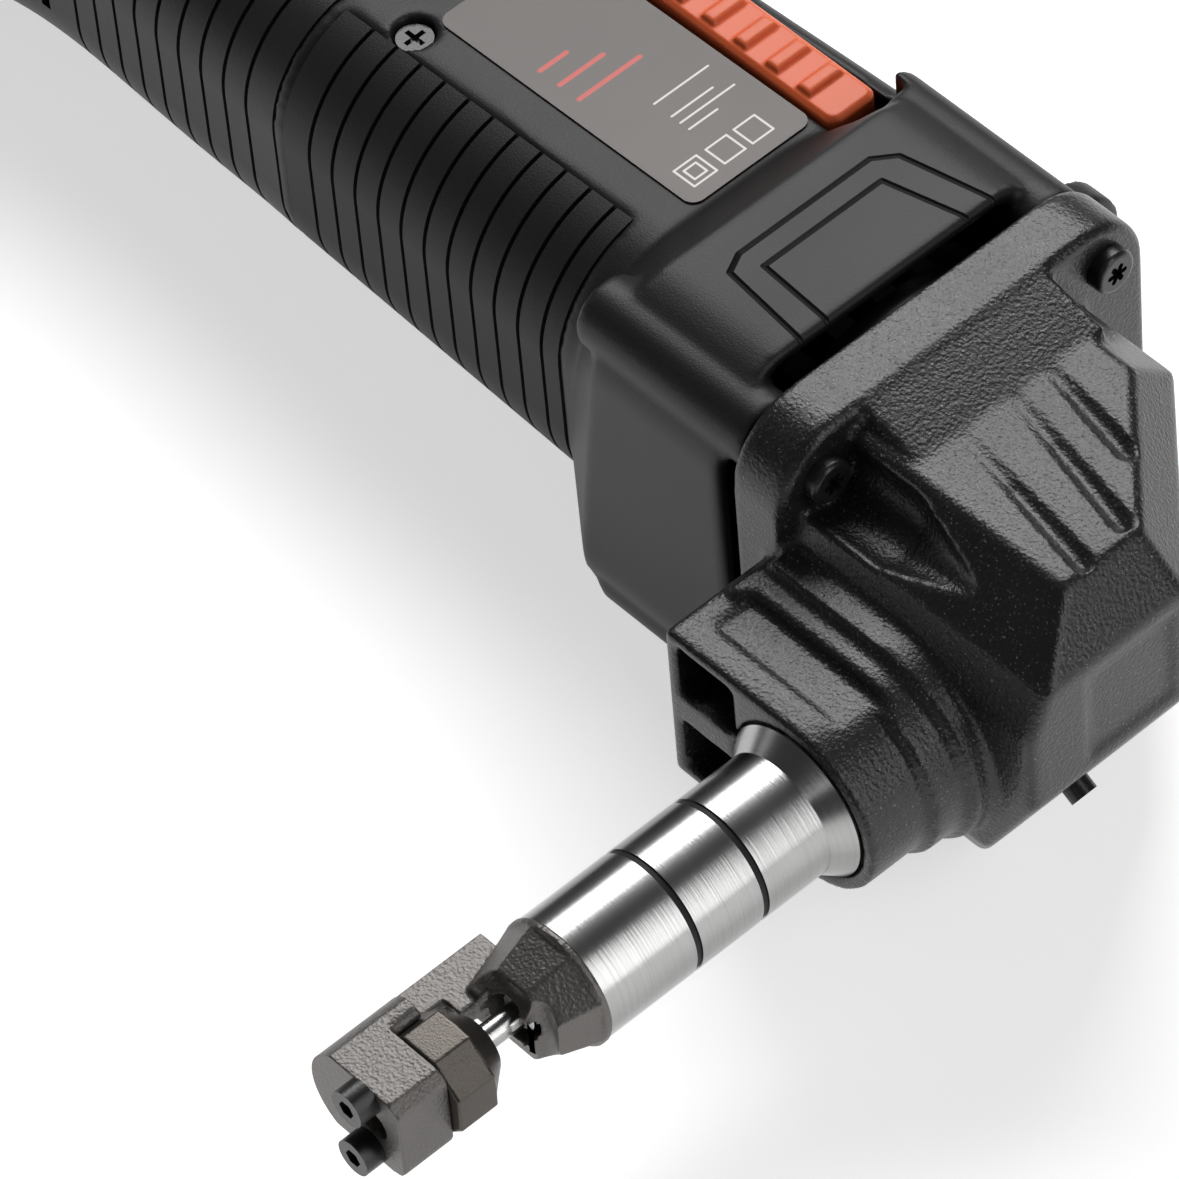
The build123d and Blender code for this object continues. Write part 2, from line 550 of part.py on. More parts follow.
def connecting_rod():
    """Rod from the wrist pin to a wide ring round the eccentric."""
    ring_y = CRANK_Y - CRANK_THROW
    rod = rod_x(-4.5, 4.5, 16.6, ring_y) + rod_x(-4.5, 4.5, 6.0, WRIST_PIN_Y)
    rod += box(-4.5, 4.5, WRIST_PIN_Y, ring_y, -4.5, 4.5)
    return rod - rod_x(-5, 5, 14.6, ring_y) - rod_x(-5, 5, WRIST_PIN_R + RUNNING_FIT, WRIST_PIN_Y)


def wrist_pin():
    return rod_x(-8.2, 8.2, WRIST_PIN_R, WRIST_PIN_Y)


def ram():
    fork = rod_y(-60.0, WRIST_PIN_Y + 5, NECK_BORE_R - 0.1)
    fork -= box(-4.9, 4.9, WRIST_PIN_Y - 6.8, WRIST_PIN_Y + 6, -12, 12)
    shaft = rod_y(RAM_END, -60.0, RAM_R)
    return fork + shaft - rod_x(-12, 12, WRIST_PIN_R, WRIST_PIN_Y) - rod_y(RAM_END - 1, RAM_END + 9, 3.2)


def punch():
    tool = rod_y(PUNCH_TIP, RAM_END, PUNCH_R) + rod_y(RAM_END, RAM_END + 9, 3.2)
    tool += rod_y(RAM_END - 14.0, RAM_END - 11.0, 3.6) + rod_y(RAM_END - 11.0, RAM_END, 3.2)
    return tool


# ---- neck ----------------------------------------------------------------------------------

def neck_sleeve():
    sleeve = rod_y(NECK_END, -45.0, NECK_R) + rod_y(NOSE_END, NOSE_END + 0.5, CONE_R)
    sleeve += cone_y(CONE_END, NECK_R, NOSE_END, CONE_R)
    for y in NECK_GROOVES:
        half = NECK_GROOVE_WIDTH / 2
        sleeve -= rod_y(y - half, y + half, NECK_R + 1) - rod_y(y - half, y + half, NECK_R - 1.2)
    return sleeve - rod_y(NECK_END - 1, -44, NECK_BORE_R)


def neck_rings():
    rings = Part()
    for y in NECK_GROOVES:
        half = NECK_GROOVE_WIDTH / 2 - 0.05
        rings += rod_y(y - half, y + half, NECK_R - 0.35) - rod_y(y - half, y + half, NECK_R - 1.2)
    return rings


def neck_bush():
    return rod_y(-109.0, -67.0, NECK_BORE_R) - rod_y(-110, -66, RAM_R + RUNNING_FIT)


def die_carrier():
    """Forged holder that turns in the neck: collar, tapered body, web and die block."""
    carrier = rod_y(NECK_END - 1.4, NECK_END, 12.25) + rod_y(NECK_END, -110.5, NECK_BORE_R - RUNNING_FIT)
    top = Plane(origin=(0, NECK_END - 1.4, 0), x_dir=(1, 0, 0), z_dir=(0, -1, 0))
    low = Plane(origin=(0, TAPER_END, 0), x_dir=(1, 0, 0), z_dir=(0, -1, 0))
    taper = loft([top * (Rot(0, 0, 22.5) * RegularPolygon(12.2, 8)), low * (Rot(0, 0, 22.5) * RegularPolygon(8.2, 8))])
    carrier += taper
    for side in (-1, 1):
        carrier -= rod_x(-20, 20, 4.2, -132.0, side * 7.6)
    carrier -= rod_z(-20, 20, 2.6, 7.2, -128.5)
    carrier += box(-15.0, -5.2, -150.0, -121.5, -2.4, 2.4)
    block = box(-15.0, 7.0, DIE_END, -148.0, -9.0, 9.0) + box(-15.0, -5.5, -148.0, DIE_BLOCK_TOP, -9.0, 9.0)
    block = fillet(block.edges().filter_by(Axis.Y), 2.6)
    carrier += block
    carrier -= rod_y(-134, -121, 5.0) + rod_y(-122, -109, RAM_R + 0.3)
    carrier -= rod_y(DIE_END - 1, -147, 3.2)
    for side in (-1, 1):
        carrier -= rod_y(DIE_END - 1, -147, 2.15, -1.0, side * 6.4)
    octagon = Plane(origin=(0, -148.0, 0), x_dir=(1, 0, 0), z_dir=(0, 1, 0))
    return carrier - extrude(octagon * (Rot(0, 0, 22.5) * RegularPolygon(9.95, 8)), amount=13)


def die():
    octagon = Plane(origin=(0, -148.0, 0), x_dir=(1, 0, 0), z_dir=(0, 1, 0))
    body = extrude(octagon * (Rot(0, 0, 22.5) * RegularPolygon(9.9, 8)), amount=8.0)
    body += cone_y(-140.0, 9.0, DIE_TOP, 5.2)
    body -= rod_y(-149, DIE_TOP + 1, PUNCH_R + 0.1)
    for side in (-1, 1):
        body -= rod_y(-149, -142.5, 2.0, -1.0, side * 6.4)
    return body


def die_screws():
    return Part() + [socket_screw_y(DIE_END - DIE_HEAD_HEIGHT, -143.0, -1.0, side * 6.4, 2.0, 3.5,
                                   DIE_HEAD_HEIGHT, 1.75)
                     for side in (-1, 1)]


# ---- motor ---------------------------------------------------------------------------------

def armature_shaft():
    shaft = rod_x(-168.0, -160.0, 3.0) + rod_x(-160.0, -49.0, 5.0) + rod_x(-49.0, -38.5, 4.0)
    return shaft + rod_x(-38.5, -29.0, 2.2)


def armature_core():
    core = tube_x(STATOR_REAR + 2, STATOR_FRONT - 2, ARMATURE_R, 5.0)
    for i in range(12):
        angle = radians(30 * i)
        core -= rod_x(STATOR_REAR, STATOR_FRONT, 1.7, 16.2 * cos(angle), 16.2 * sin(angle))
    return core


def armature_windings():
    coils = Part()
    for i in range(12):
        angle = radians(30 * i)
        coils += rod_x(STATOR_REAR + 1, STATOR_FRONT - 1, 1.65, 16.2 * cos(angle), 16.2 * sin(angle))
    for x0, x1 in ((STATOR_REAR - 5, STATOR_REAR + 1.5), (STATOR_FRONT - 1.5, STATOR_FRONT + 4)):
        coils += tube_x(x0, x1, 17.8, 7.0)
    return coils


def commutator():
    ring = tube_x(BRUSH_X - 5.5, BRUSH_X + 6, COMMUTATOR_R, 5.0) + tube_x(BRUSH_X + 6, BRUSH_X + 8, 12.5, 5.0)
    for i in range(24):
        ring -= Rot(15 * i, 0, 0) * box(BRUSH_X - 6, BRUSH_X + 6, COMMUTATOR_R - 0.6, 12, -0.2, 0.2)
    return ring


def fan():
    wheel = tube_x(-64.0, -62.0, FAN_R, 5.0) + tube_x(-64.0, -52.0, 9.0, 5.0)
    for i in range(11):
        wheel += Rot(360 * i / 11, 0, 0) * (Pos(0, 0, 5) * box(-62.5, -52.0, 8.0, FAN_R - 1.5, -0.8, 0.8)) & rod_x(
            -64, -52, FAN_R)
    return wheel


def stator_core():
    core = tube_x(STATOR_REAR, STATOR_FRONT, STATOR_R, STATOR_BORE_R)
    for y in (-15.0, 15.0):
        for z in (-18.0, 18.0):
            core -= box(STATOR_REAR - 1, STATOR_FRONT + 1, y - 2.3, y + 2.3, z - 2.3, z + 2.3)
    return core


def stator_coils():
    coils = Part()
    for side in (-1, 1):
        for z in (-18.0, 18.0):
            y = side * 15.0
            coils += box(STATOR_REAR - 5, STATOR_FRONT + 5, y - 2.2, y + 2.2, z - 2.2, z + 2.2)
        y0, y1 = (12.8, 30) if side > 0 else (-30, -12.8)
        for x0 in (STATOR_REAR - 5, STATOR_FRONT + 0.5):
            coils += tube_x(x0, x0 + 4.5, 24.6, 20.4) & box(x0, x0 + 4.5, y0, y1, -30, 30)
    return coils


def brush_holders():
    holders = Part()
    for side in (-1, 1):
        y0, y1 = (12.6, 26.0) if side > 0 else (-26.0, -12.6)
        tube = box(BRUSH_X - 5, BRUSH_X + 5, y0, y1, -5.2, 5.2)
        holders += tube - box(BRUSH_X - 4.1, BRUSH_X + 4.1, y0 - 1, y1 + 1, -4.1, 4.1)
    return holders


def carbon_brushes():
    brushes = Part()
    for side in (-1, 1):
        y0, y1 = (10.0, 20.0) if side > 0 else (-20.0, -10.0)
        brushes += box(BRUSH_X - 4, BRUSH_X + 4, y0, y1, -4, 4)
    return brushes - rod_x(BRUSH_X - 5, BRUSH_X + 5, COMMUTATOR_R + RUNNING_FIT)


def brush_springs():
    springs = Part()
    for side in (-1, 1):
        low, high = (20.0, 25.5) if side > 0 else (-25.5, -20.0)
        springs += rod_y(low, high, 2.8, BRUSH_X) - rod_y(low, high, 2.1, BRUSH_X)
    return springs


NODES = {
    "motor_housing": motor_housing,
    "rear_handle_plate_side": lambda: rear_handle(1),
    "rear_handle_far_side": lambda: rear_handle(-1),
    "handle_screws": handle_screws,
    "housing_screw": housing_screw,
    "grip_neck_side": lambda: grip(-1),
    "grip_back_side": lambda: grip(1),
    "rating_plate": rating_plate,
    "cord_gland": cord_gland,
    "cord_clamp": cord_clamp,
    "switch_slider": switch_slider,
    "switch_rod": switch_rod,
    "switch_body": switch_body,
    "gear_housing": gear_housing,
    "grease_plug": grease_plug,
    "gearbox_screws": gearbox_screws,
    "fan_baffle": fan_baffle,
    "bearing_plate": bearing_plate,
    "bearing_bridge": bearing_bridge,
    "front_motor_bearing": lambda: bearing(-46.0, -39.0, 11.0, 4.0),
    "rear_motor_bearing": lambda: bearing(-167.5, -161.5, 9.5, 3.0),
    "rear_lay_bearing": lambda: bearing(-40.8, -36.8, 6.5, 2.5, LAY_Y, LAY_Z),
    "front_lay_bearing": lambda: bearing(-28.0, -24.0, 6.5, 2.5, LAY_Y, LAY_Z),
    "rear_crank_bearing": lambda: bearing(-28.0, -24.0, 6.5, 2.5, CRANK_Y, 0),
    "front_crank_bearing": lambda: bearing(9.5, 14.5, 8.0, 4.0, CRANK_Y, 0),
    "motor_pinion": motor_pinion,
    "lay_gear": lay_gear,
    "layshaft": layshaft,
    "crank_gear": crank_gear,
    "crankshaft": crankshaft,
    "counterweight": counterweight,
    "connecting_rod": connecting_rod,
    "wrist_pin": wrist_pin,
    "ram": ram,
    "punch": punch,
    "neck_sleeve": neck_sleeve,
    "neck_rings": neck_rings,
    "neck_bush": neck_bush,
    "die_carrier": die_carrier,
    "die": die,
    "die_screws": die_screws,
    "armature_shaft": armature_shaft,
    "armature_core": armature_core,
    "armature_windings": armature_windings,
    "commutator": commutator,
    "fan": fan,
    "stator_core": stator_core,
    "stator_coils": stator_coils,
    "brush_holders": brush_holders,
    "carbon_brushes": carbon_brushes,
    "brush_springs": brush_springs,
}

ROW_ORIGIN_X = (TAIL_X - GLAND_PROUD + HEAD_FRONT_X) / 2
ROW_ORIGIN_Y = (DIE_END - DIE_HEAD_HEIGHT + EAR_Y + EAR_R) / 2

for name, make in NODES.items():
    solid = Pos(-ROW_ORIGIN_X, -ROW_ORIGIN_Y, REST_HEIGHT) * make()
    export_step(solid, f"parts/{name}.step")
    print(name, round(solid.volume, 1), "mm3 in", len(solid.solids()))
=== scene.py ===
import math
import bpy
import bmesh
from mathutils import Matrix, Vector


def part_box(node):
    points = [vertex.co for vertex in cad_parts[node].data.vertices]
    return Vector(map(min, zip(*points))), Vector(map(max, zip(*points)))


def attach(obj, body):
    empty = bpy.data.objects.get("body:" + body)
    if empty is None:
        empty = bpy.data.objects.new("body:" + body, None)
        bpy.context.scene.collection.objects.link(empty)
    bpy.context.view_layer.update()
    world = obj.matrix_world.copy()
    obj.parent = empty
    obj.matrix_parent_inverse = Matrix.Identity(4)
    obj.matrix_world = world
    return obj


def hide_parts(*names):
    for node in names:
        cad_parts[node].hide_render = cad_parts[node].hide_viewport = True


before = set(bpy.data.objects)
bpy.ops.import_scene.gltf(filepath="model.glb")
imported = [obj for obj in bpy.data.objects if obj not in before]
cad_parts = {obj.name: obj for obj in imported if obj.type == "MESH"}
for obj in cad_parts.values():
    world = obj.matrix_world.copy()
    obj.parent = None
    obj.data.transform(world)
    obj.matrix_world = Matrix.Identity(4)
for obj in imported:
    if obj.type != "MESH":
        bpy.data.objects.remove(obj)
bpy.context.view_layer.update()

# ---- camera ---------------------------------------------------------------------------------
# The tool lies on its side and is seen from above its nose, with the neck coming towards
# the lower left. The camera aims between the neck and the barrel and leans a few degrees.
neck_low, neck_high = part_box("neck_sleeve")
ring_low, ring_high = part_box("gearbox_screws")
NECK_X = (neck_low.x + neck_high.x) / 2
BARREL_Y = (ring_low.y + ring_high.y) / 2
AXIS_Z = (neck_low.z + neck_high.z) / 2


def spot(x, y, z):
    """Point given in millimetres from the crossing of the barrel axis and the neck axis."""
    return Vector((NECK_X + x / 1000, BARREL_Y + y / 1000, AXIS_Z + z / 1000))


camera_right = Vector((0.6733, 0.7366, -0.0633)).normalized()
camera_back = Vector((0.5123, -0.4031, 0.7583))
camera_back = (camera_back - camera_back.dot(camera_right) * camera_right).normalized()
camera_up = camera_back.cross(camera_right)
camera_data = bpy.data.cameras.new("studio_camera")
camera_data.lens = 274.0
camera_data.sensor_width = 36.0
camera_data.clip_end = 20.0
camera_distance = 1.5
camera_aim = spot(-57.8, -58.8, 0.2)
camera = bpy.data.objects.new("studio_camera", camera_data)
bpy.context.scene.collection.objects.link(camera)
turn = Matrix((camera_right, camera_up, camera_back)).transposed().to_4x4()
camera.matrix_world = Matrix.Translation(camera_aim + camera_back * camera_distance) @ turn
bpy.context.scene.camera = camera

# ---- studio ---------------------------------------------------------------------------------
# Pale table under the tool, a large overhead softbox, two long side boxes that draw the
# bright lines down the ground neck, a weak box in front and a dim even surround.
floor_mesh = bpy.data.meshes.new("floor")
reach = 3
corners = [(-reach, -reach, 0), (reach, -reach, 0), (reach, reach, 0), (-reach, reach, 0)]
floor_mesh.from_pydata(corners, [], [(0, 1, 2, 3)])
floor = bpy.data.objects.new("floor", floor_mesh)
bpy.context.scene.collection.objects.link(floor)
floor_paint = bpy.data.materials.new("pale_floor")
floor_paint.use_nodes = True
floor_shader = floor_paint.node_tree.nodes["Principled BSDF"]
floor_shader.inputs["Base Color"].default_value = (0.88, 0.88, 0.88, 1)
floor_shader.inputs["Roughness"].default_value = 0.9
floor_shader.inputs["Emission Color"].default_value = (1, 1, 1, 1)
floor_shader.inputs["Emission Strength"].default_value = 0.6
floor_mesh.materials.append(floor_paint)

world = bpy.data.worlds.new("grey_surround")
world.use_nodes = True
world.node_tree.nodes["Background"].inputs["Color"].default_value = (1, 1, 1, 1)
world.node_tree.nodes["Background"].inputs["Strength"].default_value = 0.06
bpy.context.scene.world = world
bpy.context.scene.view_settings.view_transform = "Standard"


def softbox(name, place, aim, width, height, power):
    """Rectangular area light at a place, facing the point it aims at; metres and watts."""
    data = bpy.data.lights.new(name, "AREA")
    data.shape = "RECTANGLE"
    data.size, data.size_y = width, height
    data.energy = power
    lamp = bpy.data.objects.new(name, data)
    bpy.context.scene.collection.objects.link(lamp)
    facing = (aim - place).to_track_quat("-Z", "Y").to_matrix().to_4x4()
    lamp.matrix_world = Matrix.Translation(place) @ facing


middle = spot(-40, -40, 0)
softbox("overhead_box", spot(-500, 450, 750), middle, 0.8, 0.45, 8.4)
softbox("left_box", spot(-900, -500, 450), middle, 0.1, 1.1, 0.3)
softbox("right_box", spot(700, 150, 420), middle, 0.22, 0.9, 2.2)
softbox("front_box", spot(250, -900, 500), middle, 0.5, 0.1, 0.2)


# ---- motor housing ---------------------------------------------------------------------------
# One moulded nylon tube: bell over the fan, barrel, switch rail and the lugs for the long
# screws. Satin black with a fine spark-eroded grain and two engraved outlines on the bell.
def shader(name):
    """New material with its nodes, links and Principled shader."""
    material = bpy.data.materials.new(name)
    material.use_nodes = True
    tree = material.node_tree
    return material, tree.nodes, tree.links, tree.nodes["Principled BSDF"]


def group_start(name, inputs, outputs):
    """Empty shader group with float inputs (name: default) and float outputs."""
    group = bpy.data.node_groups.new(name, "ShaderNodeTree")
    for label, value in inputs.items():
        kind = "NodeSocketVector" if isinstance(value, tuple) else "NodeSocketFloat"
        socket = group.interface.new_socket(label, in_out="INPUT", socket_type=kind)
        socket.default_value = value
    for label in outputs:
        group.interface.new_socket(label, in_out="OUTPUT", socket_type="NodeSocketFloat")
    nodes = group.nodes
    given, made = nodes.new("NodeGroupInput"), nodes.new("NodeGroupOutput")
    return group, nodes, group.links, given, made


def math_node(nodes, links, operation, first, second=None):
    """Math node whose inputs are sockets or plain numbers; gives its output socket."""
    node = nodes.new("ShaderNodeMath")
    node.operation = operation
    for socket, value in zip(node.inputs, (first, second)):
        if value is None:
            continue
        if isinstance(value, (int, float)):
            socket.default_value = value
        else:
            links.new(value, socket)
    return node.outputs[0]


def grain_group():
    """Fine relief of a moulded or cast skin, painted glint flecks, and a slow drift for colour and
    gloss.
    """
    inputs = {"Size": 1500.0, "Coarse": 0.5, "Glint Size": 900.0, "Glint Level": 0.66}
    outputs = ("Height", "Painted Glint", "Drift")
    group, nodes, links, given, made = group_start("surface_grain", inputs, outputs)
    place = nodes.new("ShaderNodeTexCoord")
    fine = nodes.new("ShaderNodeTexNoise")
    fine.inputs["Detail"].default_value = 3.0
    links.new(place.outputs["Object"], fine.inputs["Vector"])
    links.new(given.outputs["Size"], fine.inputs["Scale"])
    cells = nodes.new("ShaderNodeTexVoronoi")
    cells.feature = "SMOOTH_F1"
    links.new(place.outputs["Object"], cells.inputs["Vector"])
    links.new(given.outputs["Size"], cells.inputs["Scale"])
    mix = nodes.new("ShaderNodeMix")
    links.new(given.outputs["Coarse"], mix.inputs["Factor"])
    links.new(fine.outputs["Fac"], mix.inputs["A"])
    links.new(cells.outputs["Distance"], mix.inputs["B"])
    links.new(mix.outputs["Result"], made.inputs["Height"])
    # Pale flecks are painted glints: specks of light colour that stand in for sparkle off the skin.
    glint_noise = nodes.new("ShaderNodeTexNoise")
    glint_noise.inputs["Detail"].default_value = 1.0
    links.new(place.outputs["Object"], glint_noise.inputs["Vector"])
    links.new(given.outputs["Glint Size"], glint_noise.inputs["Scale"])
    above = math_node(nodes, links, "SUBTRACT", glint_noise.outputs["Fac"], given.outputs["Glint Level"])
    sharp = math_node(nodes, links, "MULTIPLY", above, 25.0)
    sharp.node.use_clamp = True
    links.new(sharp, made.inputs["Painted Glint"])
    drift = nodes.new("ShaderNodeTexNoise")
    drift.inputs["Scale"].default_value = 45.0
    drift.inputs["Detail"].default_value = 4.0
    links.new(place.outputs["Object"], drift.inputs["Vector"])
    links.new(drift.outputs["Fac"], made.inputs["Drift"])
    return group


def line_group():
    """Mask of a straight engraved line between two points, seen square to the plate face."""
    inputs = {"Start": (0.0, 0.0, 0.0), "End": (0.01, 0.0, 0.0), "Half Width": 0.0005}
    group, nodes, links, given, made = group_start("engraved_line", inputs, ("Line",))
    place = nodes.new("ShaderNodeTexCoord")
    flat = nodes.new("ShaderNodeVectorMath")
    flat.operation = "MULTIPLY"
    flat.inputs[1].default_value = (1, 1, 0)
    links.new(place.outputs["Object"], flat.inputs[0])
    along, reach = nodes.new("ShaderNodeVectorMath"), nodes.new("ShaderNodeVectorMath")
    along.operation = reach.operation = "SUBTRACT"
    links.new(flat.outputs[0], along.inputs[0])
    links.new(given.outputs["Start"], along.inputs[1])
    links.new(given.outputs["End"], reach.inputs[0])
    links.new(given.outputs["Start"], reach.inputs[1])
    dots = []
    for first in (along, reach):
        dot = nodes.new("ShaderNodeVectorMath")
        dot.operation = "DOT_PRODUCT"
        links.new(first.outputs[0], dot.inputs[0])
        links.new(reach.outputs[0], dot.inputs[1])
        dots.append(dot.outputs["Value"])
    share = math_node(nodes, links, "DIVIDE", dots[0], dots[1])
    share.node.use_clamp = True
    foot = nodes.new("ShaderNodeVectorMath")
    foot.operation = "SCALE"
    links.new(reach.outputs[0], foot.inputs[0])
    links.new(share, foot.inputs["Scale"])
    gap = nodes.new("ShaderNodeVectorMath")
    gap.operation = "DISTANCE"
    links.new(along.outputs[0], gap.inputs[0])
    links.new(foot.outputs[0], gap.inputs[1])
    ratio = math_node(nodes, links, "DIVIDE", gap.outputs["Value"], given.outputs["Half Width"])
    fall = math_node(nodes, links, "SUBTRACT", 1.0, ratio)
    fall.node.use_clamp = True
    links.new(fall, made.inputs["Line"])
    return group


surface_grain = grain_group()
engraved_line = line_group()


def place_group(nodes, group, **values):
    """Puts a shader group in a material; an underscore in a keyword is a space in its input."""
    node = nodes.new("ShaderNodeGroup")
    node.node_tree = group
    for label, value in values.items():
        node.inputs[label.replace("_", " ")].default_value = value
    return node


def strokes(nodes, links, lines, half_width):
    """Strongest of several engraved lines; lines are pairs of (x, y) from the crossing, in mm."""
    total = None
    for (x0, y0), (x1, y1) in lines:
        start, end = spot(x0, y0, 0), spot(x1, y1, 0)
        stroke = place_group(nodes, engraved_line, Start=(start.x, start.y, 0),
                             End=(end.x, end.y, 0), Half_Width=half_width)
        line = stroke.outputs["Line"]
        total = line if total is None else math_node(nodes, links, "MAXIMUM", total, line)
    return total


def grained(name, low, high, rough, size, coarse, relief, painted_glint=None, metallic=0.0, lines=(),
            line_width=0.0006, shine=0.5):
    """Grained finish: slow drift of colour and gloss, fine relief, optional painted glint flecks
    and lines.
    """
    material, nodes, links, main = shader(name)
    grain = place_group(nodes, surface_grain, Size=size, Coarse=coarse)
    tone = nodes.new("ShaderNodeMix")
    tone.data_type = "RGBA"
    tone.inputs["A"].default_value = (*low, 1)
    tone.inputs["B"].default_value = (*high, 1)
    links.new(grain.outputs["Drift"], tone.inputs["Factor"])
    shade = tone.outputs["Result"]
    if painted_glint:
        level, glint_size, glint_color = painted_glint
        grain.inputs["Glint Level"].default_value = level
        grain.inputs["Glint Size"].default_value = glint_size
        # Painted glints: pale flecks mixed into the base colour as sparkle.
        glint_mix = nodes.new("ShaderNodeMix")
        glint_mix.data_type = "RGBA"
        glint_mix.inputs["B"].default_value = (*glint_color, 1)
        links.new(grain.outputs["Painted Glint"], glint_mix.inputs["Factor"])
        links.new(shade, glint_mix.inputs["A"])
        shade = glint_mix.outputs["Result"]
    links.new(shade, main.inputs["Base Color"])
    gloss = nodes.new("ShaderNodeMapRange")
    gloss.inputs["To Min"].default_value, gloss.inputs["To Max"].default_value = rough
    links.new(grain.outputs["Drift"], gloss.inputs["Value"])
    links.new(gloss.outputs["Result"], main.inputs["Roughness"])
    fine = nodes.new("ShaderNodeBump")
    fine.inputs["Strength"].default_value = relief
    fine.inputs["Distance"].default_value = 0.0003
    links.new(grain.outputs["Height"], fine.inputs["Height"])
    if lines:
        cut = nodes.new("ShaderNodeBump")
        cut.invert = True
        cut.inputs["Strength"].default_value = 1.0
        cut.inputs["Distance"].default_value = 0.0008
        links.new(strokes(nodes, links, lines, line_width), cut.inputs["Height"])
        links.new(cut.outputs["Normal"], fine.inputs["Normal"])
    links.new(fine.outputs["Normal"], main.inputs["Normal"])
    main.inputs["Metallic"].default_value = metallic
    main.inputs["Specular IOR Level"].default_value = shine
    return material


def dress(node, material):
    """Gives a CAD node its material."""
    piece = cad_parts[node]
    piece.data.materials.clear()
    piece.data.materials.append(material)
    return piece


MERGE_GAP = 0.000005


def soften(node, material, voxel, passes, name, body, extra=()):
    """Piece with the rounded edges of a moulding or casting, made from a merged copy of a CAD
    node. Extra blocks, each a low and a high ring of corners, are fused to it."""
    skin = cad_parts[node].data.copy()
    work = bmesh.new()
    work.from_mesh(skin)
    bmesh.ops.remove_doubles(work, verts=work.verts, dist=MERGE_GAP)
    for low_ring, high_ring in extra:
        low_verts, high_verts = (
            [work.verts.new(spot(*corner)) for corner in ring] for ring in (low_ring, high_ring))
        block = [work.faces.new(low_verts[::-1]), work.faces.new(high_verts)]
        for i in range(len(low_verts)):
            j = (i + 1) % len(low_verts)
            block.append(work.faces.new((low_verts[i], low_verts[j], high_verts[j], high_verts[i])))
        bmesh.ops.recalc_face_normals(work, faces=block)
    work.to_mesh(skin)
    work.free()
    rough_piece = bpy.data.objects.new(name + "_blank", skin)
    bpy.context.scene.collection.objects.link(rough_piece)
    grid = rough_piece.modifiers.new("skin", "REMESH")
    grid.mode = "VOXEL"
    grid.voxel_size = voxel
    grid.use_smooth_shade = True
    relax = rough_piece.modifiers.new("relax", "SMOOTH")
    relax.factor = 0.5
    relax.iterations = passes
    graph = bpy.context.evaluated_depsgraph_get()
    mesh = bpy.data.meshes.new_from_object(rough_piece.evaluated_get(graph))
    bpy.data.objects.remove(rough_piece)
    mesh.name = name
    mesh.materials.clear()
    mesh.materials.append(material)
    for face in mesh.polygons:
        face.use_smooth = True
    piece = bpy.data.objects.new(name, mesh)
    bpy.context.scene.collection.objects.link(piece)
    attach(piece, body)
    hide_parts(node)
    return piece


BELL_OUTLINE = (((-45, -20), (-64, -18)), ((-64, -18), (-66, -14)), ((-66, -14), (-66, 16)),
                ((-66, 16), (-63, 20)), ((-63, 20), (-45, 24)), ((-45, -14), (-61, -13)),
                ((-61, -13), (-61, 14)), ((-61, 14), (-45, 18)))
nylon_black = ((0.0085, 0.0085, 0.009), (0.0125, 0.0125, 0.013))
moulded_black = grained("moulded_black", *nylon_black, (0.42, 0.5), 2600, 0.2, 0.22, shine=0.34)
bell_black = grained("bell_black", *nylon_black, (0.42, 0.5), 2600, 0.2, 0.22,
                     lines=BELL_OUTLINE, shine=0.34)
soften("motor_housing", bell_black, 0.00095, 3,
       "housing_moulding", "housing")

# ---- rear handle and its fittings -------------------------------------------------------------
# Two nylon half shells held by thread-forming screws, with the clamp that holds the cord. The
# switch body and the brush holders inside are the same nylon.
for node in ("rear_handle_plate_side", "rear_handle_far_side", "cord_clamp", "switch_body",
             "brush_holders"):
    dress(node, moulded_black)

# ---- rubber grip and gland --------------------------------------------------------------------
# Thermoplastic rubber moulded into a shallow pocket, ribbed across the hand; dull and slightly
# darker than the nylon. The gland and the neck rings are the same kind of rubber.
rubber_black = grained("rubber_black", (0.0075, 0.0075, 0.008), (0.0115, 0.0115, 0.012),
                       (0.5, 0.6), 3200, 0.35, 0.3, shine=0.3)
for node in ("grip_neck_side", "grip_back_side", "cord_gland", "neck_rings"):
    dress(node, rubber_black)

# ---- gear head --------------------------------------------------------------------------------
# Die-cast aluminium under a black wrinkle coating; its sparkle is painted into the colour as pale
# glint flecks, with grooves and scoops left from the die. A wedge blends the rim into the top face.
# The pale flecks given below are painted glints that stand in for the coating's sparkle.
cast_black = grained("cast_black", (0.008, 0.008, 0.0085), (0.014, 0.014, 0.0145),
                     (0.27, 0.4), 1500, 0.35, 0.7, painted_glint=(0.68, 2300.0, (0.15, 0.15, 0.15)))
RIM_RAMP = ((-28.0, 34.0), (-28.0, 41.7), (-13.0, 37.9), (-13.0, 34.0))
ramp = [[(x, y, z) for x, z in RIM_RAMP] for y in (-23.0, 19.5)]
soften("gear_housing", cast_black, 0.0008, 4,
       "gear_head_casting", "housing", [ramp])
for node in ("bearing_plate", "bearing_bridge"):
    dress(node, cast_black)
baffle_black = grained("baffle_black", (0.012, 0.012, 0.012), (0.02, 0.02, 0.02),
                       (0.4, 0.5), 2600, 0.2, 0.2)
dress("fan", baffle_black)

# ---- outlet baffle ----------------------------------------------------------------------------
# Moulded ring in the air outlet, with square teeth that break up the air from the fan. The
# ring is swept round a circle and the teeth are repeated along it.
baffle_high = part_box("fan_baffle")[1]
TOOTH_DROP = -0.495


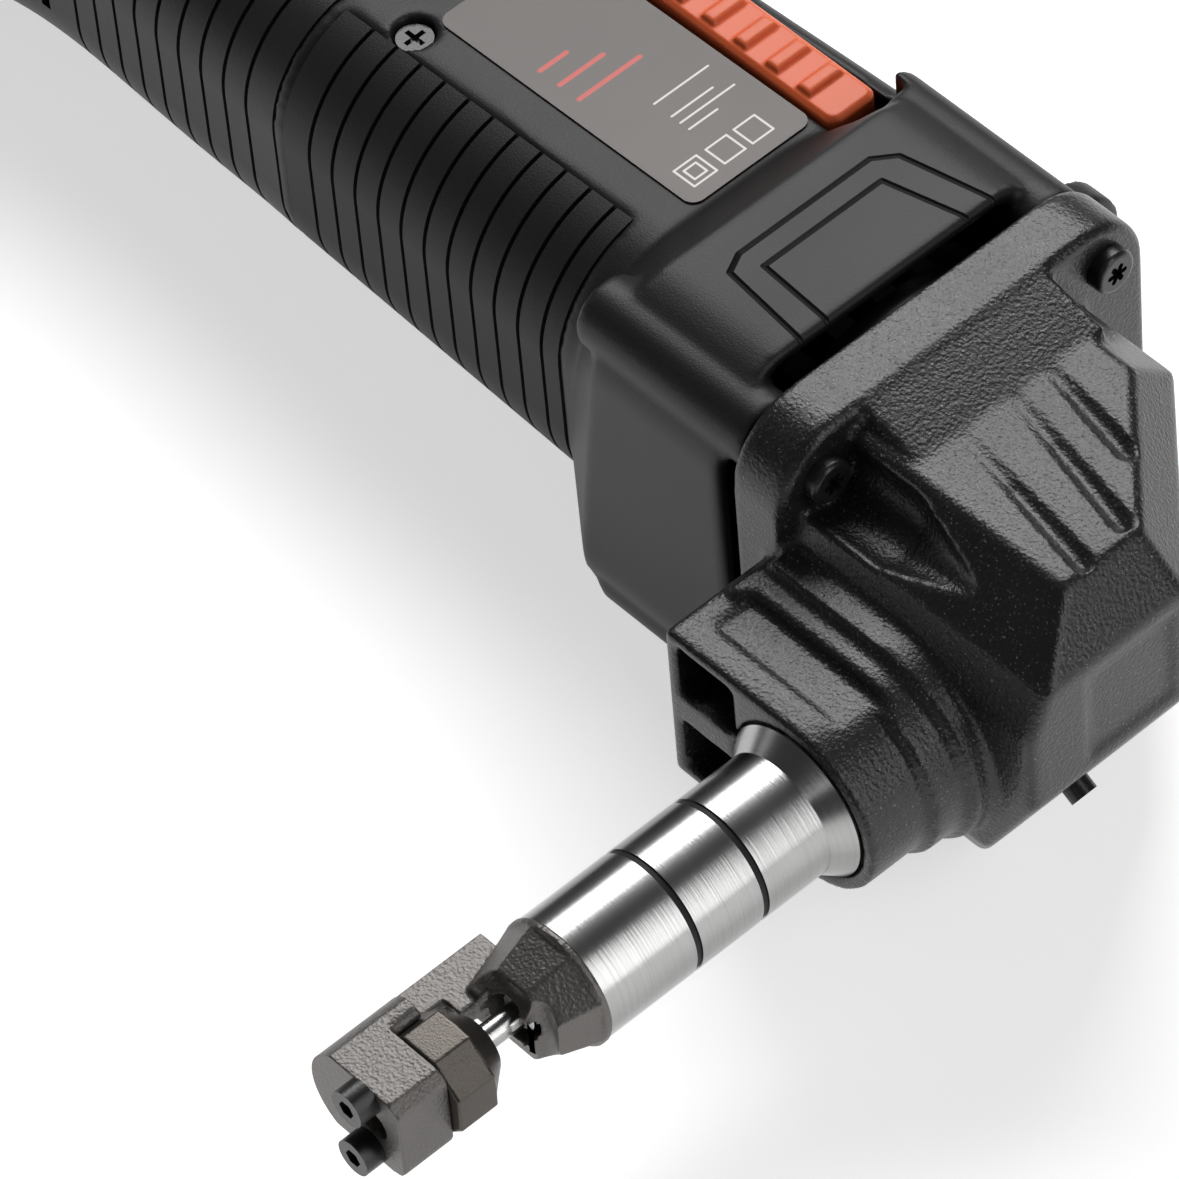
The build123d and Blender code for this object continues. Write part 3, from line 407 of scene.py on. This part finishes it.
def baffle_tree():
    """Ring swept round a circle, with teeth spaced evenly along one edge of it."""
    tree = bpy.data.node_groups.new("toothed_ring", "GeometryNodeTree")
    face = tree.interface
    face.new_socket("Geometry", in_out="INPUT", socket_type="NodeSocketGeometry")
    for label, value in (("Radius", 0.0355), ("Wall", 0.0019), ("Ring Length", 0.0064),
                         ("Tooth Width", 0.0045), ("Tooth Length", 0.0046)):
        socket = face.new_socket(label, in_out="INPUT", socket_type="NodeSocketFloat")
        socket.default_value = value
    face.new_socket("Teeth", in_out="INPUT", socket_type="NodeSocketInt").default_value = 24
    face.new_socket("Finish", in_out="INPUT", socket_type="NodeSocketMaterial")
    face.new_socket("Geometry", in_out="OUTPUT", socket_type="NodeSocketGeometry")
    nodes, links = tree.nodes, tree.links
    given, made = nodes.new("NodeGroupInput"), nodes.new("NodeGroupOutput")
    hoop = nodes.new("GeometryNodeCurvePrimitiveCircle")
    hoop.inputs["Resolution"].default_value = 120
    links.new(given.outputs["Radius"], hoop.inputs["Radius"])
    strip = nodes.new("GeometryNodeCurvePrimitiveQuadrilateral")
    links.new(given.outputs["Wall"], strip.inputs["Width"])
    links.new(given.outputs["Ring Length"], strip.inputs["Height"])
    sweep = nodes.new("GeometryNodeCurveToMesh")
    links.new(hoop.outputs["Curve"], sweep.inputs["Curve"])
    links.new(strip.outputs["Curve"], sweep.inputs["Profile Curve"])
    dots = nodes.new("GeometryNodeMeshCircle")
    links.new(given.outputs["Teeth"], dots.inputs["Vertices"])
    links.new(given.outputs["Radius"], dots.inputs["Radius"])
    both_lengths = nodes.new("ShaderNodeMath")
    both_lengths.operation = "ADD"
    links.new(given.outputs["Ring Length"], both_lengths.inputs[0])
    links.new(given.outputs["Tooth Length"], both_lengths.inputs[1])
    drop = nodes.new("ShaderNodeMath")
    drop.operation = "MULTIPLY"
    drop.inputs[1].default_value = TOOTH_DROP
    links.new(both_lengths.outputs[0], drop.inputs[0])
    offset = nodes.new("ShaderNodeCombineXYZ")
    links.new(drop.outputs[0], offset.inputs["Z"])
    lower = nodes.new("GeometryNodeTransform")
    links.new(dots.outputs["Mesh"], lower.inputs["Geometry"])
    links.new(offset.outputs["Vector"], lower.inputs["Translation"])
    size = nodes.new("ShaderNodeCombineXYZ")
    links.new(given.outputs["Wall"], size.inputs["X"])
    links.new(given.outputs["Tooth Width"], size.inputs["Y"])
    links.new(given.outputs["Tooth Length"], size.inputs["Z"])
    tooth = nodes.new("GeometryNodeMeshCube")
    links.new(size.outputs["Vector"], tooth.inputs["Size"])
    index = nodes.new("GeometryNodeInputIndex")
    step = nodes.new("ShaderNodeMath")
    step.operation = "DIVIDE"
    step.inputs[0].default_value = 2 * math.pi
    links.new(given.outputs["Teeth"], step.inputs[1])
    angle = nodes.new("ShaderNodeMath")
    angle.operation = "MULTIPLY"
    links.new(index.outputs["Index"], angle.inputs[0])
    links.new(step.outputs[0], angle.inputs[1])
    turn_by = nodes.new("ShaderNodeCombineXYZ")
    links.new(angle.outputs[0], turn_by.inputs["Z"])
    repeat = nodes.new("GeometryNodeInstanceOnPoints")
    links.new(lower.outputs["Geometry"], repeat.inputs["Points"])
    links.new(tooth.outputs["Mesh"], repeat.inputs["Instance"])
    links.new(turn_by.outputs["Vector"], repeat.inputs["Rotation"])
    both = nodes.new("GeometryNodeJoinGeometry")
    links.new(repeat.outputs["Instances"], both.inputs["Geometry"])
    links.new(sweep.outputs["Mesh"], both.inputs["Geometry"])
    real = nodes.new("GeometryNodeRealizeInstances")
    links.new(both.outputs["Geometry"], real.inputs["Geometry"])
    finish = nodes.new("GeometryNodeSetMaterial")
    links.new(real.outputs["Geometry"], finish.inputs["Geometry"])
    links.new(given.outputs["Finish"], finish.inputs["Material"])
    links.new(finish.outputs["Geometry"], made.inputs["Geometry"])
    return tree


def grow(tree, name, values, placing, body, replaced):
    """Piece from a node tree, made a plain mesh and moved to its place in the mesh itself."""
    maker = bpy.data.objects.new(name + "_maker", bpy.data.meshes.new(name + "_maker"))
    bpy.context.scene.collection.objects.link(maker)
    modifier = maker.modifiers.new("build", "NODES")
    modifier.node_group = tree
    for socket in tree.interface.items_tree:
        if socket.in_out == "INPUT" and socket.name in values:
            modifier[socket.identifier] = values[socket.name]
    graph = bpy.context.evaluated_depsgraph_get()
    mesh = bpy.data.meshes.new_from_object(maker.evaluated_get(graph))
    bpy.data.objects.remove(maker)
    mesh.name = name
    mesh.transform(placing)
    tidy = bmesh.new()
    tidy.from_mesh(mesh)
    bmesh.ops.recalc_face_normals(tidy, faces=tidy.faces)
    tidy.to_mesh(mesh)
    tidy.free()
    piece = bpy.data.objects.new(name, mesh)
    bpy.context.scene.collection.objects.link(piece)
    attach(piece, body)
    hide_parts(replaced)
    return piece


ring_length = 0.0064
baffle_middle = Vector((baffle_high.x - ring_length / 2, BARREL_Y, AXIS_Z))
baffle_place = Matrix.Translation(baffle_middle) @ Matrix.Rotation(math.pi / 2, 4, "Y")
grow(baffle_tree(), "outlet_baffle", {"Finish": baffle_black, "Ring Length": ring_length},
     baffle_place, "housing", "fan_baffle")

# ---- screws and plug --------------------------------------------------------------------------
# Black-oxide steel screws, slightly shiny where the driver has rubbed.
oxide_black = grained("oxide_black", (0.008, 0.008, 0.008), (0.015, 0.015, 0.015),
                      (0.28, 0.38), 2400, 0.2, 0.2)
for node in ("gearbox_screws", "handle_screws", "housing_screw", "grease_plug", "die_screws"):
    dress(node, oxide_black)


# ---- neck and punch ---------------------------------------------------------------------------
# Ground and polished steel: fine rings run round the neck from the grinding wheel.
def ground_steel(name, low, high, rough, pitch, depth):
    """Steel with grinding rings: noise stretched across the neck and tight along it."""
    material, nodes, links, main = shader(name)
    place = nodes.new("ShaderNodeTexCoord")
    spread = nodes.new("ShaderNodeMapping")
    spread.inputs["Scale"].default_value = (0.02, 1.0, 0.02)
    links.new(place.outputs["Object"], spread.inputs["Vector"])
    rings = nodes.new("ShaderNodeTexNoise")
    rings.inputs["Scale"].default_value = pitch
    rings.inputs["Detail"].default_value = 5.0
    links.new(spread.outputs["Vector"], rings.inputs["Vector"])
    tone = nodes.new("ShaderNodeMix")
    tone.data_type = "RGBA"
    tone.inputs["A"].default_value = (*low, 1)
    tone.inputs["B"].default_value = (*high, 1)
    links.new(rings.outputs["Fac"], tone.inputs["Factor"])
    links.new(tone.outputs["Result"], main.inputs["Base Color"])
    grain = place_group(nodes, surface_grain, Size=900.0, Coarse=0.0)
    gloss = nodes.new("ShaderNodeMapRange")
    gloss.inputs["To Min"].default_value, gloss.inputs["To Max"].default_value = rough
    links.new(grain.outputs["Drift"], gloss.inputs["Value"])
    links.new(gloss.outputs["Result"], main.inputs["Roughness"])
    fine = nodes.new("ShaderNodeBump")
    fine.inputs["Strength"].default_value = depth
    fine.inputs["Distance"].default_value = 0.00005
    links.new(rings.outputs["Fac"], fine.inputs["Height"])
    links.new(fine.outputs["Normal"], main.inputs["Normal"])
    main.inputs["Metallic"].default_value = 1.0
    return material


neck_steel = ground_steel("neck_steel", (0.33, 0.33, 0.327), (0.45, 0.45, 0.445),
                          (0.2, 0.28), 2600, 0.3)
for node in ("neck_sleeve", "punch", "ram", "wrist_pin"):
    dress(node, neck_steel)

# ---- die holder and die -----------------------------------------------------------------------
# Drop-forged and tempered steel, browned by the oil quench, with a pebbled skin; the die is
# machined from bar and blackened.
forged_brown = grained("forged_brown", (0.10, 0.094, 0.09), (0.2, 0.188, 0.18), (0.36, 0.5),
                       1700, 0.45, 0.65, metallic=0.8)
die_black = grained("die_black", (0.06, 0.053, 0.047), (0.12, 0.108, 0.096), (0.3, 0.42),
                    2600, 0.3, 0.3, metallic=0.85)
holder = soften("die_carrier", forged_brown, 0.0003, 7,
                "die_holder_forging", "die_holder")
block_low, block_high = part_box("die")
block_middle = Vector((NECK_X - 0.0045, 0, AXIS_Z))
BLOCK_LENGTH = 0.008
BACK_RADIUS = 0.0102
BACK_FIRST, BACK_STEP, BACK_CUTS = 95, 5.3, 33
SLANT_DIRECTION, SLANT_REACH = Vector((0.62, 0, 0.785)), 0.0128
WEB_MARGIN, WEB_END, WEB_BACK = 0.001, 0.0062, 0.0049


def press_in(vert, direction, reach):
    """Moves a vertex back to the plane that lies at this reach from the middle of the block."""
    over = (vert.co - block_middle).dot(direction) - reach
    if over > 0:
        vert.co -= direction * over


back_directions = []
for cut in range(BACK_CUTS):
    angle = math.radians(BACK_FIRST + BACK_STEP * cut)
    back_directions.append(Vector((math.cos(angle), 0, math.sin(angle))))
web_end = block_high.y + WEB_END
for vert in holder.data.vertices:
    if vert.co.y < block_low.y + BLOCK_LENGTH:
        for direction in back_directions:
            press_in(vert, direction, BACK_RADIUS)
        press_in(vert, SLANT_DIRECTION, SLANT_REACH)
    elif block_high.y - WEB_MARGIN < vert.co.y < web_end and vert.co.x > NECK_X - WEB_BACK:
        vert.co.y = web_end
soften("die", die_black, 0.00028, 2, "die_insert", "die_holder")

# ---- slide switch -----------------------------------------------------------------------------
# Orange nylon slide with raised pads for the thumb and a flat rod to the switch in the handle.
slide_orange = grained("slide_orange", (0.78, 0.125, 0.034), (0.88, 0.155, 0.045),
                       (0.4, 0.5), 2600, 0.2, 0.2)
soften("switch_slider", slide_orange, 0.00035, 3,
       "thumb_slide", "slide_switch")
dress("switch_rod", slide_orange)

# ---- rating plate -----------------------------------------------------------------------------
# Printed foil glued to the barrel, with plain bars where the data would be and blank squares
# where the symbols would be.
def plate_material():
    """Dark foil with pale and red strokes; front and edge are the plate's corner, in mm."""
    material, nodes, links, main = shader("printed_foil")
    grain = place_group(nodes, surface_grain, Size=3000.0, Coarse=0.1)
    tone = nodes.new("ShaderNodeMix")
    tone.data_type = "RGBA"
    tone.inputs["A"].default_value = (0.040, 0.032, 0.029, 1)
    tone.inputs["B"].default_value = (0.062, 0.05, 0.045, 1)
    links.new(grain.outputs["Drift"], tone.inputs["Factor"])
    shade = tone.outputs["Result"]
    front, edge = -86.6, -6.0
    pale_ink, red_ink = (0.42, 0.4, 0.38, 1), (0.34, 0.035, 0.025, 1)
    white = []
    for row in (5, 6, 7, 9):
        x = front - 3 - row * 2.2
        white.append(((x, edge + 12), (x, edge + 24.5 - (row % 3) * 3)))
    squares = []
    for up, half in ((6, 2.6), (6, 1.4), (13, 2.4), (19.5, 2.4)):
        x, y = front - 6, edge + up
        near_y, far_y, near_x, far_x = y - half, y + half, x - half, x + half
        around = ((near_x, near_y), (far_x, near_y), (far_x, far_y), (near_x, far_y))
        squares += [(around[i], around[(i + 1) % 4]) for i in range(4)]
    red = []
    for row in range(3):
        x = front - 33 - 5 * row
        red.append(((x, edge + 4), (x, edge + 18 - 4 * row)))
    for lines, half_width, color in ((white + squares, 0.00026, pale_ink), (red, 0.0006, red_ink)):
        ink = math_node(nodes, links, "MULTIPLY", strokes(nodes, links, lines, half_width), 3.0)
        ink.node.use_clamp = True
        print_mix = nodes.new("ShaderNodeMix")
        print_mix.data_type = "RGBA"
        print_mix.inputs["B"].default_value = color
        links.new(ink, print_mix.inputs["Factor"])
        links.new(shade, print_mix.inputs["A"])
        shade = print_mix.outputs["Result"]
    links.new(shade, main.inputs["Base Color"])
    main.inputs["Roughness"].default_value = 0.36
    fine = nodes.new("ShaderNodeBump")
    fine.inputs["Strength"].default_value = 0.1
    fine.inputs["Distance"].default_value = 0.0002
    links.new(grain.outputs["Height"], fine.inputs["Height"])
    links.new(fine.outputs["Normal"], main.inputs["Normal"])
    main.inputs["Metallic"].default_value = 0.2
    return material


dress("rating_plate", plate_material())

# ---- motor and gears --------------------------------------------------------------------------
# Inside the housing: stacked laminations, varnished copper coils, the commutator and carbon
# brushes, hardened gears, ball bearings and bronze bushes.
lamination = grained("lamination", (0.16, 0.16, 0.165), (0.24, 0.24, 0.245), (0.35, 0.5),
                     900, 0.1, 0.3, metallic=0.9)
winding = grained("winding", (0.42, 0.13, 0.045), (0.55, 0.19, 0.07), (0.25, 0.4),
                  1400, 0.6, 0.6, metallic=0.6)
hard_steel = grained("hard_steel", (0.32, 0.32, 0.33), (0.44, 0.44, 0.45), (0.25, 0.36),
                     2000, 0.1, 0.15, metallic=1.0)
race_steel = grained("race_steel", (0.5, 0.5, 0.5), (0.62, 0.62, 0.62), (0.16, 0.26),
                     2200, 0.0, 0.1, metallic=1.0)
bronze = grained("bronze", (0.45, 0.27, 0.1), (0.56, 0.35, 0.15), (0.3, 0.42),
                 1800, 0.2, 0.2, metallic=1.0)
carbon = grained("carbon", (0.015, 0.015, 0.016), (0.03, 0.03, 0.031), (0.5, 0.65), 2200, 0.5, 0.4)
for alike, finish in (
        (("stator_core", "armature_core"), lamination),
        (("stator_coils", "armature_windings", "commutator"), winding),
        (("armature_shaft", "motor_pinion", "layshaft", "lay_gear", "crankshaft", "crank_gear",
          "counterweight", "connecting_rod", "brush_springs"), hard_steel),
        (("front_motor_bearing", "rear_motor_bearing", "rear_lay_bearing", "front_lay_bearing",
          "rear_crank_bearing", "front_crank_bearing"), race_steel),
        (("neck_bush",), bronze),
        (("carbon_brushes",), carbon)):
    for node in alike:
        dress(node, finish)
